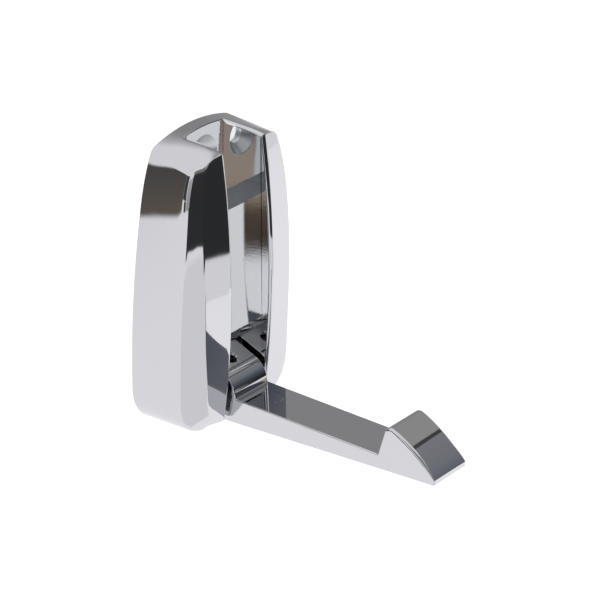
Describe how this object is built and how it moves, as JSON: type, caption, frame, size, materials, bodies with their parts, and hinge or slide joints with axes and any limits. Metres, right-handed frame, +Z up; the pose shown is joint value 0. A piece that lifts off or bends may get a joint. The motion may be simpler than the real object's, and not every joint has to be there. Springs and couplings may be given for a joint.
{
  "type": "folding coat hook",
  "caption": "Chrome-plated wall coat hook: a rounded housing with a central channel, and a hinged arm that folds up into it or swings down level to carry a coat.",
  "frame": {"origin": "on the wall face, on the centre line, level with the hinge pin", "axes": "+Z up along the wall, -Y out from the wall, X across"},
  "size_m": [0.0446, 0.0741, 0.0704],
  "materials": {
    "housing_chrome": "polished",
    "arm_chrome": "polished",
    "plate_steel": "zinc-plated",
    "screw_steel": "zinc-plated",
    "pin_steel": "ground",
    "set_screw_steel": "black oxide",
    "washer_plastic": "matte"
  },
  "bodies": {
    "base": {"housing": "housing_chrome", "back_plate": "plate_steel", "plate_screws": "screw_steel", "friction_washer_left": "washer_plastic", "friction_washer_right": "washer_plastic"},
    "swing_arm": {"arm": "arm_chrome", "pivot_pin": "pin_steel", "pivot_set_screw": "set_screw_steel"}
  },
  "joints": [
    {"name": "arm_fold", "type": "hinge", "parent": "base", "child": "swing_arm", "pos_m": [0, -0.0109, 0], "axis": [-1, 0, 0], "range_deg": [0, 90]}
  ]
}
